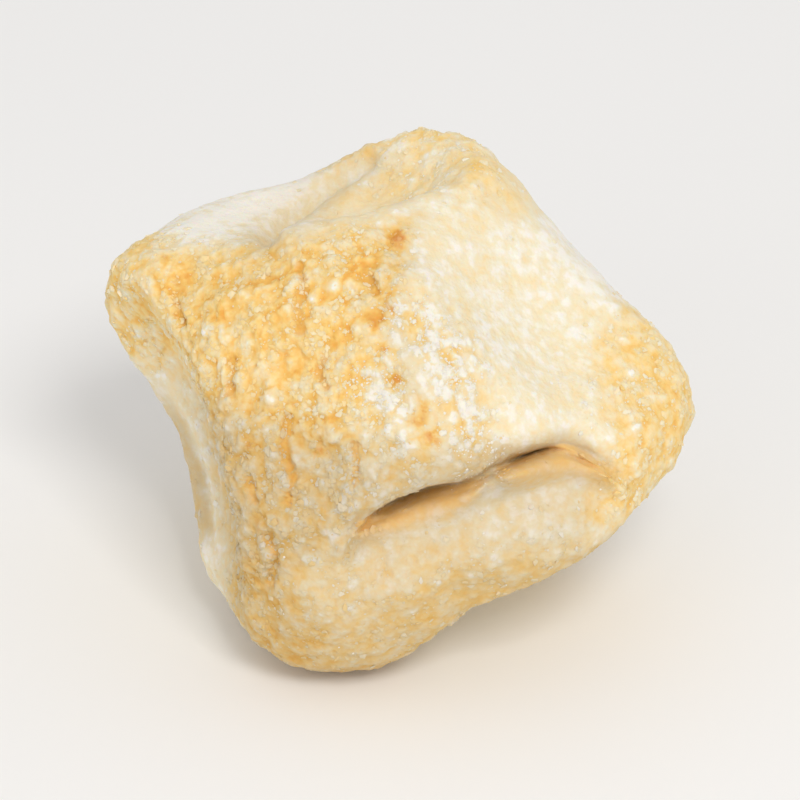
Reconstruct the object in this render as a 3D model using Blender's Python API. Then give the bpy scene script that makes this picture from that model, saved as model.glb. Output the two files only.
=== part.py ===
"""A soft amaretto: a ball of almond dough, pinched between the fingertips and baked.

The ball keeps its corners between the pinches: an ear on the left, a peak at the top, a lobe on
the right and a heel at the bottom. The fingers leave smooth hollows and one deep slot under the
brow, and the dough that they didn't touch is lumpy and cracked. The cookie rests on a flat base
at z = 0, and the middle of its footprint is the origin.
"""

import math

import bmesh
import bpy
import numpy as np
from mathutils import Vector, noise

# Sizes are in millimetres, and MM turns them into metres when the mesh is made.
MM = 0.001
COOKIE_WIDTH = 42.0  # from the ear's tip to the lobe's
GRID = 30  # squares along each side of the cube that is blown up into the ball
REACH = 34.0  # nothing of the cookie is further than this from its middle
HALVINGS = 26  # steps of the search for the surface

# Places are given as seen from the front, from this far above the table:
# to the right, up the picture and nearer to the eye, from the middle of the ball.
SIGHT = math.radians(33.0)
RIGHT = np.array([1.0, 0.0, 0.0])
UP = np.array([0.0, math.sin(SIGHT), math.cos(SIGHT)])
NEAR = np.array([0.0, -math.cos(SIGHT), math.sin(SIGHT)])

# The rolled ball, and the knobs of dough that the pinches push out of it.
# name: (place, radius)
BALL = ((-0.2, -0.8, -1.0), 16.9)
KNOBS = {
    "ear": ((-16.2, 6.2, 2.0), 4.8),
    "nape": ((-11.6, 6.7, -4.5), 5.9),
    "peak": ((1.5, 13.9, -0.5), 5.2),
    "lobe": ((14.6, -1.1, 1.5), 6.2),
    "heel": ((-4.8, -12.1, 3.0), 7.1),
    "chin": ((9.5, -6.8, 5.0), 6.0),
    "brow": ((-4.5, 0.5, 10.5), 7.0),
    "foot": ((0.6, -2.6, -4.5), 14.4),
}
KNOB_BLEND = 6.0

# The golden face, patted flat: (way it faces, distance from the middle)
FACE = ((-0.30, 0.10, 0.95), 15.2)
FACE_BLEND = 2.5

# The fingertips that press the hollows.
# name: (way it faces, distance of its deepest point, way it runs, half sizes along, across, deep)
FINGERS = {
    "pale": ((0.60, 0.43, 0.67), 13.1, (0.70, -0.70, 0.10), (24.0, 15.0, 14.0)),
    "upper": ((-0.25, 0.94, 0.235), 12.3, (0.90, 0.32, 0.0), (13.0, 8.2, 10.0)),
    "flank": ((-0.92, -0.27, 0.27), 13.4, (0.30, -0.90, 0.0), (16.0, 9.0, 10.0)),
    "under": ((0.56, -0.82, -0.10), 13.6, (0.80, 0.62, 0.0), (20.0, 14.0, 12.0)),
    "right": ((0.74, 0.10, -0.66), 15.6, (0.0, 0.9, 0.3), (22.0, 14.0, 14.0)),
    "back": ((-0.20, 0.45, -0.87), 15.6, (1.0, 0.2, 0.2), (22.0, 15.0, 14.0)),
    "left": ((-0.89, -0.27, -0.36), 15.5, (0.30, -0.90, 0.0), (20.0, 12.0, 14.0)),
}
FINGER_BLEND = 1.8

# The slot under the brow, pushed in along a bowed line, from left to right.
SLOT_LINE = (
    (-3.4, -11.3), (-0.2, -9.3), (2.2, -8.1), (5.4, -7.3), (7.8, -6.2), (11.0, -4.9), (14.0, -6.2),
    (15.6, -8.6),
)
SLOT_BOW = 5  # degree of the curve through the line
SLOT_DEPTH = 4.6
SLOT_LEAN = 0.35  # how much deeper it is at its left end than in the middle
SLOT_ABOVE = 1.1  # how soon the push fades above the line
SLOT_BELOW = 2.5  # and below it
SLOT_PUSH = (-0.10, 0.40, -0.91)
SLOT_NEAREST = 2.0  # the push takes only dough nearer to the eye than this
# The roll below comes up to the brow here and parts the slot into two pockets.
TONGUE_PLACE = 6.2
TONGUE_WIDTH = 2.2
TONGUE_SHARE = 0.5  # of the slot's depth that the tongue takes up

BASE_DEPTH = 16.2  # of the flat base below the middle of the ball
BASE_BLEND = 2.0

# The relief: soft lumps all over, crumbs, and cracks that run up and down the golden face.
SEED = 11.0
LUMP_SPACING = 8.0
LUMP_HEIGHT = 0.5
CRUMB_SPACING = 2.6
CRUMB_HEIGHT = 0.5
CRUMB_PRESSED = 0.12  # what is left of the crumbs where a finger smoothed them
CRACK_SPACING = np.array([3.4, 7.5, 6.0])  # to the right, up and near
CRACK_DEPTH = 0.6
CRACK_SHARE = 0.22  # cracks open where the noise is nearer to nought than this
# name: (place, radius) of the stretches that are more crumbly than the rest
CRUMBLY = {
    "face": ((-6.0, 3.0, 13.5), 11.0),
    "ear": ((-17.0, 6.0, 5.0), 6.0),
    "lobe": ((17.5, -2.0, 3.0), 6.0),
    "peak": ((3.0, 16.0, 3.0), 5.0),
    "heel": ((-9.5, -12.5, 9.0), 6.0),
}
CRUMBLY_ELSEWHERE = 0.35

# The dough's colour where it is baked golden
DOUGH_COLOUR = (0.84, 0.64, 0.36, 1.0)
DOUGH_ROUGHNESS = 0.85


def seen(place):
    """A place or a direction given as right, up and near, in the cookie's own axes."""
    return place[0] * RIGHT + place[1] * UP + place[2] * NEAR


def unit(vector):
    return vector / np.linalg.norm(vector)


def smooth_max(a, b, blend):
    """The larger of a and b, rounded off where they meet, and how far b has taken over."""
    share = np.clip(0.5 + 0.5 * (b - a) / blend, 0.0, 1.0)
    return a + (b - a) * share + blend * share * (1.0 - share), share


def ball_distance(points, ball):
    place, radius = ball
    return np.linalg.norm(points - seen(place), axis=1) - radius


def finger_distance(points, finger):
    """Distance to a fingertip, which is a long ellipsoid with its tip in the dough."""
    facing, depth, running, half_sizes = finger
    outward = unit(seen(facing))
    along = seen(running)
    along = unit(along - outward * np.dot(along, outward))
    across = np.cross(outward, along)
    sizes = np.array(half_sizes)
    middle = outward * (depth + sizes[2])
    local = (points - middle) @ np.stack([along, across, outward], axis=1)
    scaled = np.linalg.norm(local / sizes, axis=1)
    slope = np.linalg.norm(local / sizes**2, axis=1)
    return scaled * (scaled - 1.0) / np.maximum(slope, 1e-6)


def dough_distance(points):
    """Distance to the pinched dough, and 1 where no finger touched it, down to 0."""
    dough = ball_distance(points, BALL)
    for knob in KNOBS.values():
        dough = -smooth_max(-dough, -ball_distance(points, knob), KNOB_BLEND)[0]
    facing, depth = FACE
    dough = smooth_max(dough, points @ unit(seen(facing)) - depth, FACE_BLEND)[0]
    untouched = np.ones(len(points))
    for finger in FINGERS.values():
        dough, share = smooth_max(dough, -finger_distance(points, finger), FINGER_BLEND)
        untouched *= 1.0 - share
    return dough, untouched


def reach_surface(ways):
    """How far the surface is from the middle along each direction, by halving."""
    inside = np.zeros(len(ways))
    outside = np.full(len(ways), REACH)
    for _ in range(HALVINGS):
        halfway = 0.5 * (inside + outside)
        within = dough_distance(ways * halfway[:, None])[0] < 0.0
        inside = np.where(within, halfway, inside)
        outside = np.where(within, outside, halfway)
    return 0.5 * (inside + outside)


def noise_at(places, layer):
    """Noise from -1 to 1 at each place; each layer of the relief reads its own."""
    shift = Vector((SEED, 0.0, -SEED)) * layer
    return np.array([noise.noise(Vector(place) + shift) for place in places])


def crumbliness(points, untouched):
    """How crumbly the dough is at each point, from 0 to 1."""
    crumbly = np.full(len(points), CRUMBLY_ELSEWHERE)
    for stretch in CRUMBLY.values():
        inward = -2.0 * ball_distance(points, stretch) / stretch[1]
        crumbly = np.maximum(crumbly, np.clip(0.5 + inward, 0.0, 1.0))
    return crumbly * untouched


def relief(points, untouched):
    """How far lumps, crumbs and cracks move the surface out at each point."""
    crumbly = crumbliness(points, untouched)
    crumb_height = CRUMB_HEIGHT * (CRUMB_PRESSED + (1.0 - CRUMB_PRESSED) * crumbly)
    in_sight = np.stack([points @ RIGHT, points @ UP, points @ NEAR], axis=1)
    vein = np.abs(noise_at(in_sight / CRACK_SPACING, 3.0)) / CRACK_SHARE
    height = LUMP_HEIGHT * noise_at(points / LUMP_SPACING, 1.0)
    height += crumb_height * noise_at(points / CRUMB_SPACING, 2.0)
    height -= CRACK_DEPTH * crumbly * np.clip(1.0 - vein, 0.0, 1.0)
    return height


def push_slot(points):
    """Pushes the dough in below the slot's line, deepest just under its left end."""
    line = np.array(SLOT_LINE)
    bow = np.polynomial.Polynomial.fit(line[:, 0], line[:, 1], SLOT_BOW)
    across = points @ RIGHT
    below = bow(across) - points @ UP
    fade = np.where(below < 0.0, below / SLOT_ABOVE, below / SLOT_BELOW)
    start, end = line[0, 0], line[-1, 0]
    place = (2.0 * across - start - end) / (end - start)
    depth = np.exp(-(fade**2)) * np.clip(1.0 - place**4, 0.0, 1.0)
    depth *= 1.0 - SLOT_LEAN * place
    depth *= 1.0 - TONGUE_SHARE * np.exp(-(((across - TONGUE_PLACE) / TONGUE_WIDTH) ** 2))
    depth *= points @ NEAR > SLOT_NEAREST
    return points + SLOT_DEPTH * depth[:, None] * seen(SLOT_PUSH)


def settle(points):
    """Flattens the base, sets the cookie down at the origin and brings it to its width."""
    points[:, 2] = smooth_max(points[:, 2], -BASE_DEPTH, BASE_BLEND)[0]
    low = points.min(axis=0)
    high = points.max(axis=0)
    middle = 0.5 * (low + high)
    points -= (middle[0], middle[1], low[2])
    return points * COOKIE_WIDTH / (high[0] - low[0])


def blown_up_cube():
    """A cube cut into even squares and blown up into a ball of radius 1."""
    shape = bmesh.new()
    bmesh.ops.create_cube(shape, size=2.0)
    bmesh.ops.subdivide_edges(shape, edges=shape.edges, cuts=GRID - 1, use_grid_fill=True)
    for vertex in shape.verts:
        even = Vector(math.tan(side * math.pi / 4.0) for side in vertex.co)
        vertex.co = even.normalized()
    return shape


def baked_dough():
    """Golden, dull and dry."""
    dough = bpy.data.materials.new("baked_dough")
    dough.use_nodes = True
    shader = dough.node_tree.nodes["Principled BSDF"]
    shader.inputs["Base Color"].default_value = DOUGH_COLOUR
    shader.inputs["Roughness"].default_value = DOUGH_ROUGHNESS
    shader.inputs["Metallic"].default_value = 0.0
    return dough


def make_cookie():
    shape = blown_up_cube()
    ways = np.array([vertex.co for vertex in shape.verts], float)
    points = ways * reach_surface(ways)[:, None]
    untouched = dough_distance(points)[1]
    points += ways * relief(points, untouched)[:, None]
    points = settle(push_slot(points))
    for vertex, point in zip(shape.verts, points):
        vertex.co = Vector(point * MM)
    mesh = bpy.data.meshes.new("cookie")
    shape.to_mesh(mesh)
    shape.free()
    mesh.shade_smooth()
    mesh.materials.append(baked_dough())
    return bpy.data.objects.new("cookie", mesh)


def main():
    for old in list(bpy.data.objects):
        bpy.data.objects.remove(old)
    amaretto = bpy.data.collections.new("Amaretto")
    bpy.context.scene.collection.children.link(amaretto)
    amaretto.objects.link(make_cookie())


main()
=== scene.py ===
"""A soft amaretto on a pale table: baked dough, its crumbs and the sugar it was rolled in.

The dough's form comes from the frame. This script draws the lip of the brow crisply, leaves two
shallow pockets of the slot under it, and gives the dough a fine crust: crags, grains and cracks on
what the fingers left alone, and smooth cream-coloured hollows where they pressed. Crumbs and sugar
crystals are scattered over it.
"""

import math

import bmesh
import bpy
import numpy as np
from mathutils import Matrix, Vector


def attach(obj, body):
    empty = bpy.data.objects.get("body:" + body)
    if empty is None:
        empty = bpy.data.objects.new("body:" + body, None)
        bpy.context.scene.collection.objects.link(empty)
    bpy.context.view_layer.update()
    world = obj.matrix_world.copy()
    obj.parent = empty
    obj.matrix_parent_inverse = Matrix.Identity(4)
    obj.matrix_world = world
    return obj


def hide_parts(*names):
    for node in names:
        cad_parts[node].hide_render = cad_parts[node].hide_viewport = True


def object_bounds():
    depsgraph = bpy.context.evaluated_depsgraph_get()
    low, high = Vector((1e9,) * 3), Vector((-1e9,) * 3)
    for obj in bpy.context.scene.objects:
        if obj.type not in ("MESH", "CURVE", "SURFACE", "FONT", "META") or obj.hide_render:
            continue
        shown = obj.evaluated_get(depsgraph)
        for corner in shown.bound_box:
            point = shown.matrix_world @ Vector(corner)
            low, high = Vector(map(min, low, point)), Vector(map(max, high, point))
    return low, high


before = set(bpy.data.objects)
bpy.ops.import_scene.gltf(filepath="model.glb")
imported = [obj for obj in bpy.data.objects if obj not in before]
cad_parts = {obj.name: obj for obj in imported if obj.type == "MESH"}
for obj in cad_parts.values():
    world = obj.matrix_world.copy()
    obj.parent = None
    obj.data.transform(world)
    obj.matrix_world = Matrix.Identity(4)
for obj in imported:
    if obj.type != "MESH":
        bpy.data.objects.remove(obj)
CAD_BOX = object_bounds()

# Sizes are in millimetres, and MM turns them into metres.
MM = 0.001
COOKIE = "cookie"

# Places are given as seen from the front, from this far above the table:
# to the right, up the picture and nearer to the eye, from the middle of what is in sight.
SIGHT = math.radians(33.0)
RIGHT = np.array([1.0, 0.0, 0.0])
UP = np.array([0.0, math.sin(SIGHT), math.cos(SIGHT)])
NEAR = np.array([0.0, -math.cos(SIGHT), math.sin(SIGHT)])
SEEN_MIDDLE = np.array([0.04, -0.35, 15.73])

# Colours of the crust from golden to sugary: (paleness, linear colour)
CRUST_COLOURS = (
    (0.00, (0.83, 0.43, 0.09)),
    (0.18, (0.88, 0.54, 0.15)),
    (0.40, (0.89, 0.64, 0.27)),
    (0.62, (0.87, 0.70, 0.41)),
    (0.82, (0.85, 0.76, 0.55)),
    (1.00, (0.89, 0.85, 0.76)),
)
AMBER = (0.80, 0.44, 0.09)  # of the cracks
ORANGE = (0.68, 0.24, 0.05)  # of the spots that are baked most
TRAY_BROWN = (0.56, 0.36, 0.17)  # of the underside
# Painted shade of the pockets under the lip, in amber brown
POCKET_SHADE_AMBER = (0.80, 0.47, 0.13)
TAN_AND_SHADE_TINT = (0.73, 0.67, 0.59)  # what the crust's colour is times where it is browned in baking, and where shade is painted on it
SUGAR_WHITE = (0.87, 0.83, 0.75)
SUGAR_CREAM = (0.84, 0.76, 0.62)
TABLE_GREYS = ((0.88, 0.88, 0.88), (0.91, 0.91, 0.91))
# How far light gets into the dough and the sugar, in red, green and blue
DOUGH_GLOW = (1.0, 0.7, 0.4)
SUGAR_GLOW = (1.0, 0.9, 0.8)

# Outlines and lines of the crust, drawn in sight as (right, up) points
FACE_OUTLINE = (
    (-18.5, 9.0), (-15.0, 10.8), (-9.0, 10.8), (-3.0, 12.0), (0.6, 12.4), (0.6, 8.5), (-0.6, 5.0),
    (0.8, 0.5), (2.6, -5.0), (-2.4, -8.0), (-7.0, -12.5), (-11.5, -14.5), (-13.0, -8.0),
    (-14.6, -1.0),
)
LOBE_OUTLINE = (
    (16.0, 7.0), (21.5, 3.5), (21.5, -4.0), (17.0, -9.5), (13.5, -8.0), (15.5, -2.5), (14.0, 2.0),
)
CREST = ((0.2, 11.6), (-0.8, 7.0), (-0.2, 4.0), (0.9, 1.0), (1.8, -1.6), (2.2, -4.0))
CREST_WIDTH = 1.7
# Lines that the sugar lies along: (line, width)
SUGAR_LINES = (
    (((0.6, 5.6), (2.4, 3.8)), 1.5),
    (((3.2, 3.5), (3.8, 0.0), (5.2, -3.2)), 1.6),
    (((-2.2, 1.6), (-0.6, 0.2)), 1.3),
)
# Rims painted palest: paler dough, with a painted highlight where light from above catches them
PALE_LIT_RIMS = (
    ((-15.0, 12.2), (-10.8, 13.8), (-7.0, 15.8)),
    ((10.6, 12.9), (15.5, 7.8)),
)
PALE_LIT_RIM_WIDTH = 1.9
# The smooth golden stretch of the face, and the yellow ones by the crease and the peak:
# (line, strength)
YELLOW_LINES = (
    (((-13.5, 8.5), (-7.5, 3.2)), 1.0),
    (((-3.8, 13.8), (-0.5, 15.4)), 1.4),
    (((5.6, 16.2), (9.0, 13.6)), 1.5),
)
YELLOW_WIDTH = 2.0
# Amber and orange spots: (right, up, radius, strength)
SPOTS = (
    (-0.2, 11.3, 0.75, 1.5), (-16.5, 9.9, 0.6, 1.0), (-18.3, 6.2, 0.7, 0.8), (-15.8, 6.2, 0.6, 0.8),
    (-15.6, 7.8, 0.5, 0.7), (-7.4, -0.2, 0.5, 0.9), (-5.4, -3.6, 0.8, 0.9), (-10.6, -3.3, 0.6, 0.8),
    (-1.7, 5.4, 0.8, 1.2), (-0.7, 6.5, 0.6, 1.0), (-0.4, 1.3, 0.6, 1.1), (1.3, -1.2, 0.8, 1.2),
    (2.0, -2.7, 0.7, 1.2), (-7.7, -6.8, 0.6, 1.1), (-9.6, -8.6, 1.1, 0.7), (-10.4, -11.2, 1.0, 0.7),
    (-9.0, 9.0, 0.9, 0.6), (-2.9, 9.9, 0.8, 0.7), (-5.2, 9.4, 0.6, 0.5), (-1.2, 3.6, 0.5, 0.8),
    (1.3, 17.4, 0.6, 0.6), (5.3, 16.6, 0.7, 0.7), (1.4, 15.3, 0.5, 0.6), (7.7, 14.4, 0.8, 0.6),
    (5.0, 3.2, 0.5, 0.6), (4.4, 0.4, 0.5, 0.8), (10.7, 0.2, 0.5, 0.5), (16.2, 6.4, 0.9, 0.5),
    (18.1, 2.8, 0.9, 0.5), (17.6, -1.7, 0.8, 0.5), (19.4, -2.8, 0.9, 0.5), (-12.5, 6.0, 0.5, 0.6),
)
CRACKS = (
    ((-7.1, 9.3), (-6.6, 8.0), (-7.3, 6.6), (-7.0, 4.7)),
    ((-11.9, 2.8), (-11.6, 1.6), (-12.0, 0.4)),
    ((-7.8, -1.2), (-8.2, -3.2), (-7.5, -5.2), (-7.8, -7.2)),
    ((-5.2, 3.2), (-5.6, 1.9), (-5.2, 0.9)),
    ((-15.6, 8.4), (-15.9, 6.8), (-15.4, 5.4)),
    ((-9.2, -9.6), (-8.7, -11.4), (-9.3, -13.0)),
    ((-2.4, 8.9), (-2.0, 7.6)),
    ((-10.6, -5.4), (-10.3, -7.0)),
    ((-3.4, -3.2), (-2.9, -4.6), (-3.3, -5.8)),
)
NO_CRACK = 3.0  # the distance to a crack where there is none near

# Corners of the dough and crust on its far side: (right, up, near), how far the crust there
# reaches from it, and how far it is whole
CORNERS = {
    "ear": ((-18.5, 7.0, 2.0), 7.5, 3.5),
    "peak": ((2.5, 17.0, 2.0), 7.5, 3.0),
    "heel": ((-9.0, -15.5, 7.0), 9.0, 3.0),
}
BACK_PATCHES = (
    ((-2.5, 7.5, -15.5), 8.25, 3.75),
    ((5.0, 1.0, -16.5), 6.6, 3.0),
    ((-12.0, 2.0, -9.5), 6.6, 3.0),
    ((12.0, -9.0, -4.0), 6.6, 3.0),
)

# The lip of the brow, and the pockets under it, which the tongue of the roll below parts:
# (from, to, height, fill), where the fill is how far the dough in it comes forward
LIP = (
    (-6.0, -10.7), (-4.0, -9.3), (-2.0, -8.0), (0.0, -6.9), (2.0, -6.1), (5.0, -5.7), (7.0, -4.6),
    (9.0, -3.8), (11.0, -3.0), (12.0, -3.1), (14.0, -4.2), (15.0, -4.9), (17.0, -7.0),
)
POCKETS = ((-3.6, 6.3, 2.2, 1.9), (6.3, 15.6, 2.2, 2.2))
FORWARD = 0.98 * NEAR - 0.20 * UP
LIP_DROP = 0.45  # how far the brow's edge is drawn down, to the line of the lip
LIP_ROUND = 1.0  # how far the brow's edge is drawn in
# Where the slot closes up, over what width, and how much: its ends, and the tongue
SLOT_CLOSINGS = ((-3.6, 1.2, 0.6), (7.8, 2.2, 3.6), (15.2, 1.4, 0.9))
FLANK_EDGE = (
    (-18.6, 4.0), (-17.4, 2.0), (-15.2, -1.4), (-13.7, -5.2), (-13.2, -8.6), (-13.0, -11.0),
)
FLANK_DEPTH = 0.45

# The crease that runs up the upper hollow, and the low fold beside it
CREASE = ((-9.6, 11.4), (-7.2, 13.4), (-4.6, 15.5), (-2.2, 17.0))
CREASE_DEPTH = 0.85
CREASE_WIDTH = 0.55
FOLD = ((-7.8, 11.6), (-5.8, 12.6), (-3.4, 14.2))
FOLD_HEIGHT = 0.45
FOLD_WIDTH = 0.8
# Width of the painted shade laid along the crease of the upper hollow
HOLLOW_SHADE_WIDTH = 1.9

# Stretches in millimetres, over which something comes in or goes out
FACES_EYE = (2.0, 4.0)
IN_SIGHT = (-2.0, 5.0)
ON_BACK = (-4.0, -10.0)
LIP_SPAN = ((-5.5, -2.5), (17.0, 14.0))
LIP_SMOOTHING = (-0.6, 0.0, 0.6)
SLOT_SPAN = ((-8.0, -3.0), (16.0, 12.0))
FLANK_SPAN = ((-11.5, -8.5), (3.0, -2.5))
FACE_RIM = (-1.6, 1.4)
LOBE_RIM = (-3.0, 2.0)
TRAY_RIM = (3.5, 0.2)

MERGED = 0.001 * MM  # corners of the frame's triangles this close become one
SQUARE_LIMIT = 1.0  # radians by which two triangles may differ and still join
FINER = 2  # rounds of dividing the squares
LUMP_KINDS = 4

# The table, the eye and the lights are in metres.
TABLE_RADIUS = 3.0
EYE_DISTANCE = 0.6
PICTURE_SHARE = 0.74  # the cookie's share of the picture's width
SKY_COLOUR = (1.0, 0.985, 0.97)
SKY_STRENGTH = 0.68
# (name, place, power, size, colour)
LIGHTS = (
    ("key", (0.15, -0.46, 0.56), 2.2, 0.22, (1.0, 0.985, 0.96)),
    ("fill", (-0.45, -0.60, 0.35), 0.45, 0.5, (1.0, 1.0, 1.0)),
)


def seen(points):
    """Points in metres as right, up and near, in millimetres from the middle."""
    away = points / MM - SEEN_MIDDLE
    return np.stack([away @ RIGHT, away @ UP, away @ NEAR], axis=1)


def soft_step(value, low, high):
    """0 at low and 1 at high, with a smooth rise between them."""
    share = np.clip((value - low) / (high - low), 0.0, 1.0)
    return share * share * (3.0 - 2.0 * share)


def window(value, rise, fall):
    """1 between two stretches of a value, with a smooth rise and fall over them."""
    return soft_step(value, *rise) * soft_step(value, *fall)


def line_distance(places, line):
    """Distance in sight from each place to a line of straight runs."""
    nearest = np.full(len(places), np.inf)
    for start, end in zip(line[:-1], line[1:]):
        start = np.array(start)
        run = np.array(end) - start
        along = np.clip((places - start) @ run / (run @ run), 0.0, 1.0)
        nearest = np.minimum(nearest, np.linalg.norm(places - start - along[:, None] * run, axis=1))
    return nearest


def band(places, line, width):
    """1 on a line in sight, and less away from it."""
    return np.exp(-((line_distance(places, line) / width) ** 2))


def inside(places, outline):
    """Distance in sight from each place to an outline, positive inside it."""
    closed = outline + outline[:1]
    crossings = np.zeros(len(places), int)
    for (x1, y1), (x2, y2) in zip(closed[:-1], closed[1:]):
        spans = (places[:, 1] < y1) != (places[:, 1] < y2)
        rise = np.where(spans, (places[:, 1] - y1) / ((y2 - y1) or 1.0), 0.0)
        crossings += spans & (places[:, 0] < x1 + rise * (x2 - x1))
    return line_distance(places, closed) * np.where(crossings % 2 == 1, 1.0, -1.0)


def around(place, middle, reach, whole):
    """1 within some distance of a middle, and 0 beyond its reach."""
    return soft_step(np.linalg.norm(place - middle, axis=1), reach, whole)


def strongest(shares):
    return np.maximum.reduce(list(shares))


def coordinates(mesh, layer="vertices", name="co"):
    values = np.zeros(len(mesh.vertices) * 3)
    getattr(mesh, layer).foreach_get(name, values)
    return values.reshape(-1, 3)


def convexity(mesh, rounds=24):
    """How far each point stands proud of its smoothed surroundings, in millimetres."""
    points = coordinates(mesh)
    ends = np.array([edge.vertices[:] for edge in mesh.edges])
    count = np.bincount(ends.ravel(), minlength=len(points))[:, None]
    soft = points.copy()
    for _ in range(rounds):
        total = np.zeros_like(points)
        np.add.at(total, ends[:, 0], soft[ends[:, 1]])
        np.add.at(total, ends[:, 1], soft[ends[:, 0]])
        soft = 0.5 * soft + 0.5 * total / count
    proud = ((points - soft) * coordinates(mesh, "vertex_normals", "vector")).sum(axis=1) / MM
    return proud - proud.mean()


def below_lip(flat):
    """How far in sight each place lies below the line of the lip."""
    right, up = np.array(LIP).T
    lip = sum(np.interp(flat[:, 0] + shift, right, up) for shift in LIP_SMOOTHING)
    return lip / len(LIP_SMOOTHING) - flat[:, 1]


def pocket_shares(flat):
    """Of each pocket: how open it is at each place, the place's share of its height, its fill."""
    below = below_lip(flat)
    for start, end, height, fill in POCKETS:
        along = 2.0 * (flat[:, 0] - start) / (end - start) - 1.0
        opened = np.clip(1.0 - along**2, 0.0, 1.0) ** 0.6
        yield opened, below / (height * np.maximum(opened, 0.05)), fill


def flank_share(flat, near):
    """1 in the left flank's hollow, beyond its edge, and 0 outside it."""
    right, up = np.array(FLANK_EDGE[::-1]).T
    beyond = np.interp(flat[:, 1], up, right) - flat[:, 0]
    in_flank = window(flat[:, 1], *FLANK_SPAN) * soft_step(near, -7.0, -1.0)
    return soft_step(beyond, -0.4, 0.6) * in_flank


def shape_dough(points, normals):
    """Draws the brow's edge down, fills the slot to its pockets and creases the upper hollow."""
    place = seen(points)
    flat, near = place[:, :2], place[:, 2]
    facing_eye = soft_step(near, *FACES_EYE)
    below = below_lip(flat)
    lipped = window(flat[:, 0], *LIP_SPAN) * facing_eye
    drop = LIP_DROP * window(below, (0.6, -0.9), (-3.6, -1.0)) * lipped
    drawn_in = LIP_ROUND * soft_step(below, -2.8, 0.2) ** 1.5 * soft_step(below, 0.7, 0.1) * lipped
    points = points - (drop * MM)[:, None] * UP - (drawn_in * MM)[:, None] * NEAR
    flat = seen(points)[:, :2]
    for opened, down, fill in pocket_shares(flat):
        share = window(down, (-0.06, 0.10), (1.5, 0.4)) * opened
        points = points + (share * fill * facing_eye * MM)[:, None] * FORWARD
    slot = window(below_lip(flat), (-0.2, 0.3), (2.8, 0.5)) * facing_eye
    for middle, width, height in SLOT_CLOSINGS:
        closed = np.exp(-(((flat[:, 0] - middle) / width) ** 2)) * slot
        points = points + (closed * height * MM)[:, None] * NEAR
    points = points - normals * (flank_share(flat, near) * FLANK_DEPTH * MM)[:, None]
    upper = soft_step(normals @ UP, 0.2, 0.6) * soft_step(flat[:, 1], 9.0, 11.0)
    upper *= soft_step(near, -5.0, -3.0)
    crease = CREASE_DEPTH * band(flat, CREASE, CREASE_WIDTH)
    fold = FOLD_HEIGHT * band(flat, FOLD, FOLD_WIDTH)
    return points + normals * ((fold - crease) * upper * MM)[:, None]


def drawn_masks(flat, near, front):
    """Masks of the crust's lines and spots, and of the painted shade in the pockets: name of the
    mask, and its values.
    """
    sugar = strongest(band(flat, line, width) for line, width in SUGAR_LINES)
    spots = strongest(
        strength * np.exp(-((np.linalg.norm(flat - (right, up), axis=1) / radius) ** 2))
        for right, up, radius, strength in SPOTS
    )
    # Painted shade in the pockets, in a band just under the lip.
    pocket = strongest(
        window(down, (-0.08, 0.04), (1.5, 0.4)) * soft_step(opened, 0.0, 0.6)
        for opened, down, _ in pocket_shares(flat)
    )
    # The top rims: paler dough with a painted highlight.
    chalk = strongest(band(flat, line, PALE_LIT_RIM_WIDTH) for line in PALE_LIT_RIMS)
    yellow = strongest(strength * band(flat, line, YELLOW_WIDTH) for line, strength in YELLOW_LINES)
    cracks = np.minimum.reduce([line_distance(flat, line) for line in CRACKS])
    return {
        "chalk": chalk * soft_step(near, -8.0, -3.0),
        "yellow": yellow * soft_step(near, -4.0, 0.0),
        "crest": band(flat, CREST, CREST_WIDTH) * front,
        "sugar": sugar * front,
        "spots": spots * front,
        "crack_gap": np.where(front > 0.3, np.minimum(cracks, NO_CRACK), NO_CRACK),
        "pocket": pocket * front,
    }


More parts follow.
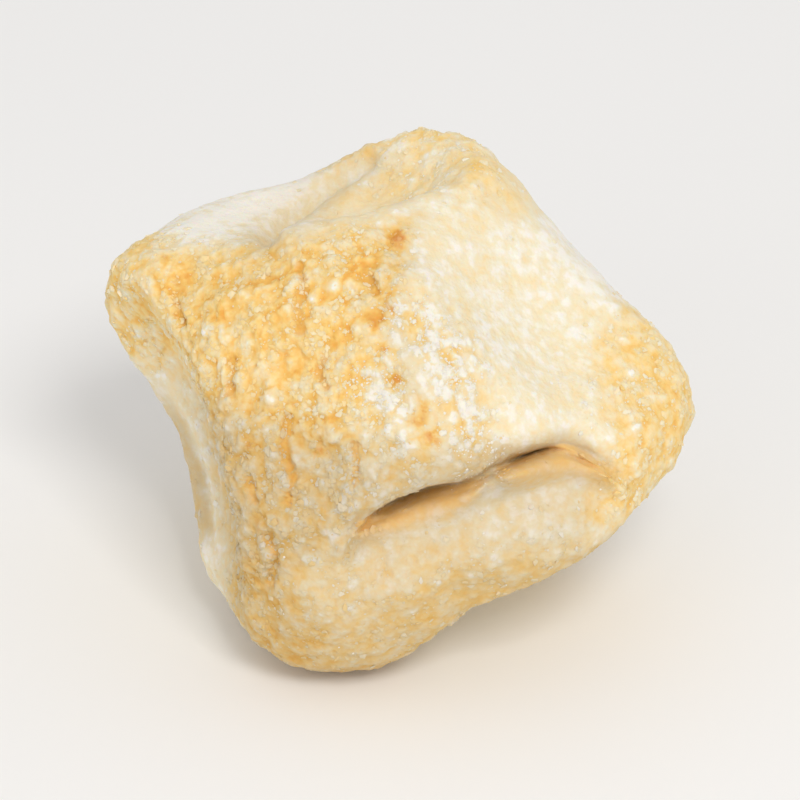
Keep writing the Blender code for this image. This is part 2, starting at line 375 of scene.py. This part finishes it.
def crust_masks(points, normals, convex):
    """What each point's crust is like: name of the mask, and its values."""
    place = seen(points)
    flat, near = place[:, :2], place[:, 2]
    right, up = flat.T
    front = soft_step(near, *IN_SIGHT)
    drawn = drawn_masks(flat, near, front)
    face = soft_step(inside(flat, FACE_OUTLINE), *FACE_RIM) * front
    lobe = soft_step(inside(flat, LOBE_OUTLINE), *LOBE_RIM) * soft_step(near, -6.0, 0.0)
    ear, peak, heel = (around(place, *corner) for corner in CORNERS.values())
    patches = [around(place, *patch) for patch in BACK_PATCHES]
    ridges = strongest([soft_step(convex, 0.1, 1.0), *patches]) * (1.0 - front)
    below = below_lip(flat)
    slotted = window(right, *SLOT_SPAN) * front
    # Painted shade on the brow above the lip and on the roll below it, where the slot's edges turn
    # away from the light.
    brow_reach = 5.0 - 3.4 * soft_step(right, 4.0, 9.0)
    brow = soft_step(below / brow_reach, -1.0, -0.15) * soft_step(below, 0.8, 0.2) * slotted
    roll = soft_step(below, 0.0, 0.4) * (0.60 + 0.40 * soft_step(below, 3.2, 1.0)) * slotted
    back = soft_step(near, *ON_BACK)
    # Painted shade along the crease of the upper hollow.
    hollow = band(flat, CREASE, HOLLOW_SHADE_WIDTH)
    # The low part of the face: more golden and darker towards the bottom, partly browning and
    # partly painted shade.
    low = soft_step(up, -5.5, -13.0) * front
    # Painted shade on the lower face, where it turns down towards the slot: the crust there is
    # darkened and made less golden.
    lower_face_shade = soft_step(up + 0.25 * right, -0.5, -6.5) * face
    # The left flank's hollow, darkened with painted shade and made a little more golden.
    flank = flank_share(flat, near)
    # Rims that face downwards: browner from the bake and darker with painted shade.
    rim = soft_step(normals @ UP, -0.25, -0.75) * soft_step(near, -4.0, 3.0)
    rim *= soft_step(below, 2.0, 4.0)
    sugared = np.sqrt(drawn["sugar"] * front)  # reaches further round the lines
    faded = (1.0 - 0.62 * soft_step(right - 0.2 * up, -6.5, 1.5)) * (1.0 - 0.5 * lower_face_shade)
    golden = (
        face * faded, 0.85 * lobe, 0.85 * ear, 0.40 * peak, 0.85 * heel, 0.4 * low, 0.7 * rim,
        0.5 * sugared, 0.4 * flank, 0.7 * ridges, 0.3 * brow,
    )
    crumbly = (
        face, 0.7 * lobe, 0.8 * ear, 0.5 * peak, 0.7 * heel, 0.45 * low, 0.9 * sugared,
        0.8 * ridges,
    )
    # Painted shade as well as browning: this mask darkens the crust where it is browned in baking,
    # and also paints shade on the lower face, the brow and roll by the slot, the upper hollow, the
    # left flank, the downward rims and the lower edge, and dims the crest and sugar lines where the
    # light falls brightest.
    tan = (
        0.8 * heel, 0.6 * low, 0.7 * rim, 0.9 * lower_face_shade, 0.9 * flank, 0.35 * back, 0.85 * brow,
        roll, 0.15 * sugared, 0.3 * drawn["crest"], 0.5 * hollow,
    )
    return {
        "golden": strongest(golden),
        "crumbly": strongest(crumbly),
        "tan": strongest(tan),
        **drawn,
        "underside": soft_step(points[:, 2] / MM, *TRAY_RIM),
    }


class Wire:
    """A node's output. Sums and products of wires and numbers add their Math nodes."""

    def __init__(self, nodes, socket):
        self.nodes = nodes
        self.socket = socket

    def worked(self, operation, a, b):
        return self.nodes.add("ShaderNodeMath", {"operation": operation}, {0: a, 1: b})

    def __add__(self, other):
        return self.worked("ADD", self, other)

    def __radd__(self, other):
        return self.worked("ADD", other, self)

    def __sub__(self, other):
        return self.worked("SUBTRACT", self, other)

    def __rsub__(self, other):
        return self.worked("SUBTRACT", other, self)

    def __mul__(self, other):
        return self.worked("MULTIPLY", self, other)

    def __rmul__(self, other):
        return self.worked("MULTIPLY", other, self)


class Nodes:
    """Adds nodes to one tree, of a finish or of a shape alike."""

    def __init__(self, tree):
        self.tree = tree

    def add(self, kind, settings=None, values=None, out=None):
        """A node of that kind: first its settings, then its sockets' values or links."""
        node = self.tree.nodes.new(kind)
        for name, setting in (settings or {}).items():
            if name == "stops":
                self.set_stops(node.color_ramp, setting)
            else:
                setattr(node, name, setting)
        self.feed(node, values or {})
        return Wire(self, self.find(node.outputs, out)) if len(node.outputs) else node

    def feed(self, node, values):
        """Gives a node's sockets their values or links."""
        for name, value in values.items():
            socket = self.find(node.inputs, name)
            if isinstance(value, Wire):
                self.tree.links.new(value.socket, socket)
            else:
                socket.default_value = value

    @staticmethod
    def set_stops(ramp, stops):
        for _ in stops[2:]:
            ramp.elements.new(0.5)
        for stop, (position, colour) in zip(ramp.elements, stops):
            stop.position = position
            stop.color = (*colour, 1.0)

    @staticmethod
    def find(sockets, key):
        """The socket of that name, identifier or number, or the first one in use."""
        if isinstance(key, int):
            return sockets[key]
        usable = [socket for socket in sockets if socket.enabled]
        if key is None:
            return usable[0]
        return next(socket for socket in usable if key in (socket.name, socket.identifier))

    def other_output(self, wire, key):
        return Wire(self, self.find(wire.socket.node.outputs, key))

    def step(self, value, low, high):
        """0 below low, 1 above high and smooth between; the other way round if low is higher."""
        ends = {"To Min": 1.0, "To Max": 0.0} if low > high else {}
        values = {"Value": value, "From Min": min(low, high), "From Max": max(low, high), **ends}
        return self.add("ShaderNodeMapRange", {"interpolation_type": "SMOOTHSTEP"}, values)

    def step_between(self, value, low, high):
        """As step, with ends that are wires."""
        values = {"Value": value, "From Min": low, "From Max": high}
        return self.add("ShaderNodeMapRange", {"interpolation_type": "SMOOTHSTEP"}, values)

    def mix(self, share, a, b):
        """Colour a where the share is 0 and colour b where it is 1."""
        colours = {
            name: colour if isinstance(colour, Wire) else (*colour, 1.0)
            for name, colour in (("A_Color", a), ("B_Color", b))
        }
        values = {"Factor_Float": share, **colours}
        return self.add("ShaderNodeMix", {"data_type": "RGBA"}, values, "Result_Color")

    def tinted(self, colour, share):
        """The colour, browned and darkened with painted shade by that share."""
        values = {"Factor_Float": share, "A_Color": colour, "B_Color": (*TAN_AND_SHADE_TINT, 1.0)}
        settings = {"data_type": "RGBA", "blend_type": "MULTIPLY"}
        return self.add("ShaderNodeMix", settings, values, "Result_Color")

    def scaled(self, vector, factor):
        """A vector times a number, or times another vector side by side."""
        if isinstance(factor, tuple):
            values = {0: vector, 1: factor}
            return self.add("ShaderNodeVectorMath", {"operation": "MULTIPLY"}, values)
        values = {"Vector": vector, "Scale": factor}
        return self.add("ShaderNodeVectorMath", {"operation": "SCALE"}, values)

    def noise(self, place, spacing, detail=2.0, rough=0.5):
        """Cloudy noise from 0 to 1 whose lumps lie about that many millimetres apart."""
        values = {"Vector": place, "Scale": 1.0 / (spacing * MM), "Detail": detail}
        return self.add("ShaderNodeTexNoise", None, {**values, "Roughness": rough}, "Fac")

    def grains(self, place, spacing, out="Distance"):
        """Distance to the middle of a grain, or the grain's own random colour."""
        values = {"Vector": place, "Scale": 1.0 / (spacing * MM)}
        return self.add("ShaderNodeTexVoronoi", {"feature": "F1"}, values, out)

    def grain_tone(self, place, spacing):
        """A random number from 0 to 1, the same all over each grain."""
        colour = self.grains(place, spacing, "Color")
        return self.add("ShaderNodeSeparateXYZ", None, {"Vector": colour}, "X")

    def moved_out(self, shape, height):
        """The shape with each point moved out by its height."""
        offset = self.scaled(self.add("GeometryNodeInputNormal"), height)
        return self.add("GeometryNodeSetPosition", None, {"Geometry": shape, "Offset": offset})

    def named(self, name, kind="FLOAT"):
        """An attribute of the mesh that a shape's tree works on."""
        return self.add(
            "GeometryNodeInputNamedAttribute", {"data_type": kind}, {"Name": name}, "Attribute"
        )

    def stored(self, shape, name, value, kind="FLOAT"):
        settings = {"data_type": kind, "domain": "POINT"}
        values = {"Geometry": shape, "Name": name, "Value": value}
        return self.add("GeometryNodeStoreNamedAttribute", settings, values)

    def inputs(self, sockets):
        """The tree's named inputs: (name, kind of socket)."""
        for name, kind in sockets:
            self.tree.interface.new_socket(name=name, in_out="INPUT", socket_type=kind)
        given = self.tree.nodes.new("NodeGroupInput")
        return {socket.name: Wire(self, socket) for socket in given.outputs if socket.name}

    def output(self, shape, finish):
        """Ends the tree: everything real, with its finish."""
        self.tree.interface.new_socket(
            name="Shape", in_out="OUTPUT", socket_type="NodeSocketGeometry"
        )
        whole = self.add("GeometryNodeRealizeInstances", None, {"Geometry": shape})
        done = self.add("GeometryNodeSetMaterial", None, {"Geometry": whole, "Material": finish})
        self.add("NodeGroupOutput", None, {0: done})


def curds(nodes, place):
    """1 on top of the lumps that the crust is made of, down to 0 in the crevices between them."""
    values = {"Vector": place, "Scale": 1.0 / (1.1 * MM), "Detail": 2.0}
    wander = nodes.add("ShaderNodeTexNoise", None, values, "Color")
    values = {0: wander, 1: (0.5, 0.5, 0.5)}
    wander = nodes.add("ShaderNodeVectorMath", {"operation": "SUBTRACT"}, values)
    values = {0: place, 1: nodes.scaled(wander, 0.9 * MM)}
    bent = nodes.add("ShaderNodeVectorMath", {"operation": "ADD"}, values)
    large = nodes.step(nodes.grains(bent, 1.5), 0.75, 0.20)
    small = nodes.step(nodes.grains(bent, 0.75), 0.75, 0.15)
    return large * 0.55 + small * 0.45


def cracked(nodes, place, gap):
    """1 in the cracks and 0 beside them, with ragged edges; gap is the distance to one."""
    ragged = (nodes.noise(place, 0.8, 4.0, 0.7) - 0.5) * 1.1
    drawn = nodes.step(gap + ragged, 0.45, 0.05)
    vein = nodes.add(
        "ShaderNodeTexVoronoi",
        {"feature": "DISTANCE_TO_EDGE"},
        {"Vector": nodes.scaled(place, (1.0, 0.55, 0.55)), "Scale": 1.0 / (2.3 * MM)},
        "Distance",
    )
    fine = nodes.step(vein + ragged * 0.12, 0.045, 0.0)
    opened = nodes.step(nodes.noise(place, 2.6, 2.0), 0.52, 0.62)
    return drawn + fine * opened * 0.35


def crust_tree():
    """The tree that turns the plain dough into fine crust."""
    nodes = Nodes(bpy.data.node_groups.new("crust", "GeometryNodeTree"))
    heights = ("Swell height", "Crag height", "Grain height", "Pressed height", "Crack depth")
    given = nodes.inputs(
        [("Dough", "NodeSocketGeometry")]
        + [(name, "NodeSocketFloat") for name in heights]
        + [("Finish", "NodeSocketMaterial")]
    )
    place = nodes.add("GeometryNodeInputPosition")
    shape = nodes.stored(given["Dough"], "rest", place, "FLOAT_VECTOR")
    rest = nodes.named("rest", "FLOAT_VECTOR")
    crumbly = nodes.named("crumbly")
    swell = (nodes.noise(rest, 4.5, 1.0) - 0.5) * given["Swell height"]
    crags = (nodes.noise(rest, 1.5, 4.0, 0.65) - 0.5) * given["Crag height"] * crumbly
    pressed = (nodes.noise(rest, 1.1, 3.0, 0.6) - 0.5) * given["Pressed height"]
    crack = cracked(nodes, rest, nodes.named("crack_gap")) * crumbly
    shape = nodes.moved_out(shape, swell + crags + pressed - crack * given["Crack depth"])
    lumps = (curds(nodes, rest) - 0.6) * (crumbly * 0.88 + 0.12)
    shape = nodes.moved_out(shape, lumps * given["Grain height"])
    shape = nodes.add("GeometryNodeSetShadeSmooth", None, {"Geometry": shape})
    nodes.output(shape, given["Finish"])
    return nodes.tree


def made(piece, tree, sizes):
    """Sets the piece's mesh to what the tree makes of it with those sizes."""
    modifier = piece.modifiers.new(tree.name, "NODES")
    modifier.node_group = tree
    for item in tree.interface.items_tree:
        if item.in_out == "INPUT" and item.name in sizes:
            modifier[item.identifier] = sizes[item.name]
    return settled(piece)


def settled(piece):
    """Turns a piece's modifiers into a plain mesh and removes them."""
    bpy.context.view_layer.update()
    drawn = piece.evaluated_get(bpy.context.evaluated_depsgraph_get())
    mesh = bpy.data.meshes.new_from_object(drawn)
    piece.modifiers.clear()
    piece.data = mesh
    return piece


def fine_dough():
    """The frame's cookie, merged, in fine squares, shaped and with its crust's masks."""
    shape = bmesh.new()
    shape.from_mesh(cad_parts[COOKIE].data)
    bmesh.ops.remove_doubles(shape, verts=shape.verts, dist=MERGED)
    limits = {"angle_face_threshold": SQUARE_LIMIT, "angle_shape_threshold": SQUARE_LIMIT}
    bmesh.ops.join_triangles(shape, faces=shape.faces, **limits)
    mesh = bpy.data.meshes.new("dough")
    shape.to_mesh(mesh)
    shape.free()
    convex = mesh.attributes.new("convex", "FLOAT", "POINT")
    convex.data.foreach_set("value", convexity(mesh))
    dough = bpy.data.objects.new("dough", mesh)
    bpy.context.scene.collection.objects.link(dough)
    finer = dough.modifiers.new("finer", "SUBSURF")
    finer.levels = finer.render_levels = FINER
    mesh = settled(dough).data
    points = shape_dough(coordinates(mesh), coordinates(mesh, "vertex_normals", "vector"))
    mesh.vertices.foreach_set("co", points.ravel())
    mesh.update()
    proud = np.zeros(len(points))
    mesh.attributes["convex"].data.foreach_get("value", proud)
    normals = coordinates(mesh, "vertex_normals", "vector")
    for name, values in crust_masks(points, normals, proud).items():
        mesh.attributes.new(name, "FLOAT", "POINT").data.foreach_set("value", values)
    return dough


def new_finish(name):
    material = bpy.data.materials.new(name)
    material.use_nodes = True
    nodes = Nodes(material.node_tree)
    return material, nodes, material.node_tree.nodes["Principled BSDF"]


def sugary_look(nodes, shader, colour, roughness, glow, glow_reach, glow_depth):
    """A finish of dough or sugar: its colour, and how far light gets into it in each colour."""
    values = {
        "Base Color": colour,
        "Roughness": roughness,
        "Specular IOR Level": 0.3,
        "Subsurface Weight": glow,
        "Subsurface Radius": glow_reach,
        "Subsurface Scale": glow_depth * MM,
    }
    nodes.feed(shader, values)


def mask(nodes, name, out="Fac"):
    """An attribute of the mesh that a finish is on."""
    return nodes.add("ShaderNodeAttribute", {"attribute_name": name}, None, out)


def crust_colour(nodes, paleness):
    """The crust's colour at that paleness, browned and darkened with painted shade where the dough
    is, and with amber painted shade in the pockets under the lip.
    """
    colour = nodes.add("ShaderNodeValToRGB", {"stops": CRUST_COLOURS}, {"Fac": paleness}, "Color")
    colour = nodes.tinted(colour, mask(nodes, "tan"))
    # Paints the pockets' shade in amber under the lip.
    return nodes.mix(mask(nodes, "pocket") * (1.05 - paleness * 0.5), colour, POCKET_SHADE_AMBER)


def dough_finish():
    """Dry baked dough: golden grains on the face, cream in the hollows, amber in the cracks."""
    material, nodes, shader = new_finish("baked_dough")
    rest = mask(nodes, "rest", "Vector")
    place = nodes.add("ShaderNodeTexCoord", None, None, "Object")
    golden, crumbly = mask(nodes, "golden"), mask(nodes, "crumbly")
    crack = cracked(nodes, rest, mask(nodes, "crack_gap")) * crumbly
    clouds = nodes.noise(rest, 3.2, 3.0, 0.55) - 0.5
    mottle = nodes.noise(rest, 0.9, 2.0, 0.6) - 0.5
    tone = nodes.grain_tone(place, 0.42) * 0.55 + nodes.grain_tone(place, 0.8) * 0.45 - 0.5
    lumps = curds(nodes, rest) - 0.5
    golden = nodes.step(golden + clouds * 0.4 + mottle * 0.3, 0.05, 1.0)
    yellow = mask(nodes, "yellow")
    # The pale lit rims raise the paleness: partly the dough's own colour, partly painted highlight.
    paleness = 0.85 - golden * 0.37 - yellow * 0.14 + clouds * 0.30 + mask(nodes, "chalk") * 0.20
    paleness = paleness + mottle * (0.60 + crumbly * 0.30) + tone * (0.15 + crumbly * 0.07)
    paleness = paleness + lumps * (0.18 + crumbly * 0.50) * (1.0 - yellow * 0.5)
    dust = nodes.step(mask(nodes, "sugar") * 1.2 + lumps * 1.6 + mottle * 1.5, 0.6, 1.3)
    orange = nodes.step(nodes.noise(rest, 1.2, 3.0, 0.65), 0.50, 0.66) * mask(nodes, "crest")
    spots = mask(nodes, "spots") * (0.8 + mottle * 2.0) + orange * 0.45
    colour = crust_colour(nodes, paleness + dust * 0.28 - nodes.step(spots, 0.0, 0.9) * 0.4)
    colour = nodes.mix(crack * 0.7, colour, AMBER)
    colour = nodes.mix(nodes.step(spots, 0.45, 1.4) * 0.8, colour, ORANGE)
    colour = nodes.mix(mask(nodes, "underside") * 0.6, colour, TRAY_BROWN)
    roughness = 0.72 + nodes.noise(place, 0.5, 2.0) * 0.2
    sugary_look(nodes, shader, colour, roughness, 0.4, DOUGH_GLOW, 0.8)
    round_grains = 1.0 - nodes.step(nodes.grains(place, 0.36), 0.0, 0.75)
    coarse = (1.0 - nodes.step(nodes.grains(place, 0.66), 0.0, 0.75)) * crumbly
    fine = nodes.noise(place, 0.22, 2.0, 0.6)
    height = round_grains * (0.55 + crumbly * 0.3) + coarse * 0.9 + fine * 0.7
    values = {"Strength": 0.5, "Distance": 0.08 * MM, "Height": height}
    nodes.feed(shader, {"Normal": nodes.add("ShaderNodeBump", None, values, "Normal")})
    return material


def crumb_finish():
    """Crumbs of the same dough, each of one tone."""
    material, nodes, shader = new_finish("dough_crumbs")
    rest = mask(nodes, "rest", "Vector")
    place = nodes.add("ShaderNodeTexCoord", None, None, "Object")
    clouds = nodes.noise(rest, 3.2, 3.0, 0.55) - 0.5
    mottle = nodes.noise(rest, 1.0, 3.0, 0.65) - 0.5
    paleness = 0.88 - mask(nodes, "golden") * 0.32 - mask(nodes, "yellow") * 0.1 + clouds * 0.25
    paleness = paleness + mottle * 0.5 + (mask(nodes, "tone") - 0.5) * 0.4
    paleness = paleness + mask(nodes, "sugar") * 0.2 + (nodes.noise(place, 0.15, 2.0) - 0.5) * 0.2
    spots = mask(nodes, "spots")
    colour = crust_colour(nodes, paleness - nodes.step(spots, 0.1, 1.0) * 0.3)
    colour = nodes.mix(nodes.step(spots, 0.4, 1.5) * 0.6, colour, ORANGE)
    roughness = 0.65 + nodes.noise(place, 0.2, 2.0) * 0.3
    sugary_look(nodes, shader, colour, roughness, 0.2, DOUGH_GLOW, 0.3)
    return material


def sugar_finish():
    """White crystals, a little glassy."""
    material, nodes, shader = new_finish("sugar")
    place = nodes.add("ShaderNodeTexCoord", None, None, "Object")
    clouds = nodes.noise(place, 0.7, 2.0)
    colour = nodes.mix(clouds, SUGAR_WHITE, SUGAR_CREAM)
    roughness = 0.45 + nodes.noise(place, 0.2, 1.0) * 0.3
    sugary_look(nodes, shader, colour, roughness, 0.3, SUGAR_GLOW, 0.2)
    return material


def scatter_tree():
    """The tree that scatters small lumps over the dough and sinks them into it."""
    nodes = Nodes(bpy.data.node_groups.new("scatter", "GeometryNodeTree"))
    numbers = (
        "Density", "Everywhere", "Smallest", "Largest", "Thickness", "Sunk", "Clump spacing",
        "Clump start", "Raggedness",
    )
    given = nodes.inputs(
        [("Dough", "NodeSocketGeometry"), ("Where", "NodeSocketString")]
        + [(name, "NodeSocketFloat") for name in numbers]
        + [("Seed", "NodeSocketInt"), ("Finish", "NodeSocketMaterial")]
    )

    def random(low, high, shift, kind="FLOAT", out="Value"):
        values = {"Min": low, "Max": high, "Seed": given["Seed"] + shift}
        return nodes.add("FunctionNodeRandomValue", {"data_type": kind}, values, out)

    place = nodes.add("GeometryNodeInputPosition")
    values = {0: 1.0, 1: given["Clump spacing"]}
    scale = nodes.add("ShaderNodeMath", {"operation": "DIVIDE"}, values)
    cloud = nodes.add("ShaderNodeTexNoise", None, {"Vector": place, "Scale": scale}, "Fac")
    start = given["Clump start"]
    clumped = nodes.step_between(cloud, start, start + 0.1)
    share = nodes.named(given["Where"]) * clumped + given["Everywhere"]
    share = share * (1.0 - nodes.named("underside"))
    points = nodes.add(
        "GeometryNodeDistributePointsOnFaces",
        {"distribute_method": "RANDOM"},
        {"Mesh": given["Dough"], "Density": share * given["Density"], "Seed": given["Seed"]},
        "Points",
    )
    normal = nodes.other_output(points, "Normal")
    turned = nodes.other_output(points, "Rotation")
    lumps = nodes.add("GeometryNodeGeometryToInstance")
    for turn in range(LUMP_KINDS):
        values = {"Radius": 1.0, "Subdivisions": 1}
        ball = nodes.add("GeometryNodeMeshIcoSphere", None, values, "Mesh")
        values = {"Vector": nodes.add("GeometryNodeInputPosition"), "Scale": 0.8 + 0.37 * turn}
        ragged = nodes.add("ShaderNodeTexNoise", None, values, "Fac") - 0.5
        lump = nodes.moved_out(ball, ragged * given["Raggedness"])
        nodes.tree.links.new(lump.socket, lumps.socket.node.inputs[0])
    chance = random(0.0, 1.0, 0)
    size = given["Smallest"] + (given["Largest"] - given["Smallest"]) * chance * chance * chance
    points = nodes.stored(points, "tone", random(0.0, 1.0, 1))
    down = nodes.scaled(normal, size * given["Sunk"] * -1.0)
    points = nodes.add("GeometryNodeSetPosition", None, {"Geometry": points, "Offset": down})
    spin = nodes.add(
        "FunctionNodeRotateRotation",
        {"rotation_space": "LOCAL"},
        {
            "Rotation": turned,
            "Rotate By": random((-0.5, -0.5, -3.1), (0.5, 0.5, 3.1), 2, "FLOAT_VECTOR"),
        },
    )
    stretch = nodes.add(
        "ShaderNodeCombineXYZ",
        None,
        {
            "X": size * random(0.8, 1.25, 3),
            "Y": size * random(0.8, 1.25, 4),
            "Z": size * given["Thickness"],
        },
    )
    placed = nodes.add(
        "GeometryNodeInstanceOnPoints",
        None,
        {
            "Points": points,
            "Instance": lumps,
            "Pick Instance": True,
            "Instance Index": random(0, LUMP_KINDS - 1, 5, "INT"),
            "Rotation": spin,
            "Scale": stretch,
        },
    )
    nodes.output(placed, given["Finish"])
    return nodes.tree


def scattered(name, dough, tree, sizes):
    """A piece of its own: what the tree scatters over the dough with those sizes."""
    piece = bpy.data.objects.new(name, dough.data.copy())
    bpy.context.scene.collection.objects.link(piece)
    return made(piece, tree, sizes)


def keep_inside(piece, low, high):
    """Brings back the few points that the crust took out of the frame's box."""
    points = np.clip(coordinates(piece.data), low, high)
    piece.data.vertices.foreach_set("co", points.ravel())
    piece.data.update()


def table():
    bpy.ops.mesh.primitive_circle_add(vertices=96, radius=TABLE_RADIUS, fill_type="NGON")
    floor = bpy.context.object
    floor.name = "table"
    material, nodes, shader = new_finish("pale_table")
    place = nodes.add("ShaderNodeTexCoord", None, None, "Object")
    colour = nodes.mix(nodes.noise(place, 90.0, 2.0), *TABLE_GREYS)
    nodes.feed(shader, {"Base Color": colour, "Roughness": 0.7})
    floor.data.materials.append(material)


def soft_light(name, place, power, size, colour):
    """A square softbox that looks at the cookie."""
    light = bpy.data.lights.new(name, "AREA")
    light.energy = power
    light.size = size
    light.color = colour
    lamp = bpy.data.objects.new(name, light)
    bpy.context.scene.collection.objects.link(lamp)
    lamp.location = place
    lamp.rotation_mode = "QUATERNION"
    lamp.rotation_quaternion = Vector(place).to_track_quat("Z", "Y")


def studio():
    world = bpy.data.worlds.new("studio")
    world.use_nodes = True
    sky = world.node_tree.nodes["Background"]
    sky.inputs["Color"].default_value = (*SKY_COLOUR, 1.0)
    sky.inputs["Strength"].default_value = SKY_STRENGTH
    bpy.context.scene.world = world
    for light in LIGHTS:
        soft_light(*light)
    bpy.context.scene.view_settings.view_transform = "Standard"


def camera(low, high):
    """Looks at the middle of the cookie from the front, from SIGHT above the table."""
    lens = bpy.data.cameras.new("camera")
    lens.lens = lens.sensor_width * EYE_DISTANCE * PICTURE_SHARE / (high[0] - low[0])
    lens.clip_start = 0.01
    eye = bpy.data.objects.new("camera", lens)
    bpy.context.scene.collection.objects.link(eye)
    back = Vector(NEAR)
    eye.location = Vector(SEEN_MIDDLE) * MM + back * EYE_DISTANCE
    eye.rotation_mode = "QUATERNION"
    eye.rotation_quaternion = back.to_track_quat("Z", "Y")
    bpy.context.scene.camera = eye


def main():
    low, high = (np.array(corner) for corner in CAD_BOX)
    camera(low, high)
    crust = {
        "Swell height": 0.30 * MM,
        "Crag height": 0.70 * MM,
        "Grain height": 0.42 * MM,
        "Pressed height": 0.28 * MM,
        "Crack depth": 0.45 * MM,
        "Finish": dough_finish(),
    }
    dough = made(fine_dough(), crust_tree(), crust)
    tree = scatter_tree()
    crumb = {
        "Where": "crumbly",
        "Density": 8.8e6,
        "Everywhere": 0.012,
        "Smallest": 0.10 * MM,
        "Largest": 0.38 * MM,
        "Thickness": 0.62,
        "Sunk": 0.42,
        "Clump spacing": 1.6 * MM,
        "Clump start": 0.42,
        "Raggedness": 1.5,
        "Seed": 3,
        "Finish": crumb_finish(),
    }
    crystal = {
        "Where": "sugar",
        "Density": 20.0e6,
        "Everywhere": 0.002,
        "Smallest": 0.05 * MM,
        "Largest": 0.15 * MM,
        "Thickness": 0.7,
        "Sunk": 0.35,
        "Clump spacing": 1.2 * MM,
        "Clump start": 0.42,
        "Raggedness": 0.8,
        "Seed": 7,
        "Finish": sugar_finish(),
    }
    crumbs = scattered("crumbs", dough, tree, crumb)
    sugar = scattered("sugar", dough, tree, crystal)
    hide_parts(COOKIE)
    for piece in (dough, crumbs, sugar):
        keep_inside(piece, low, high)
        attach(piece, "root")
    table()
    studio()


main()
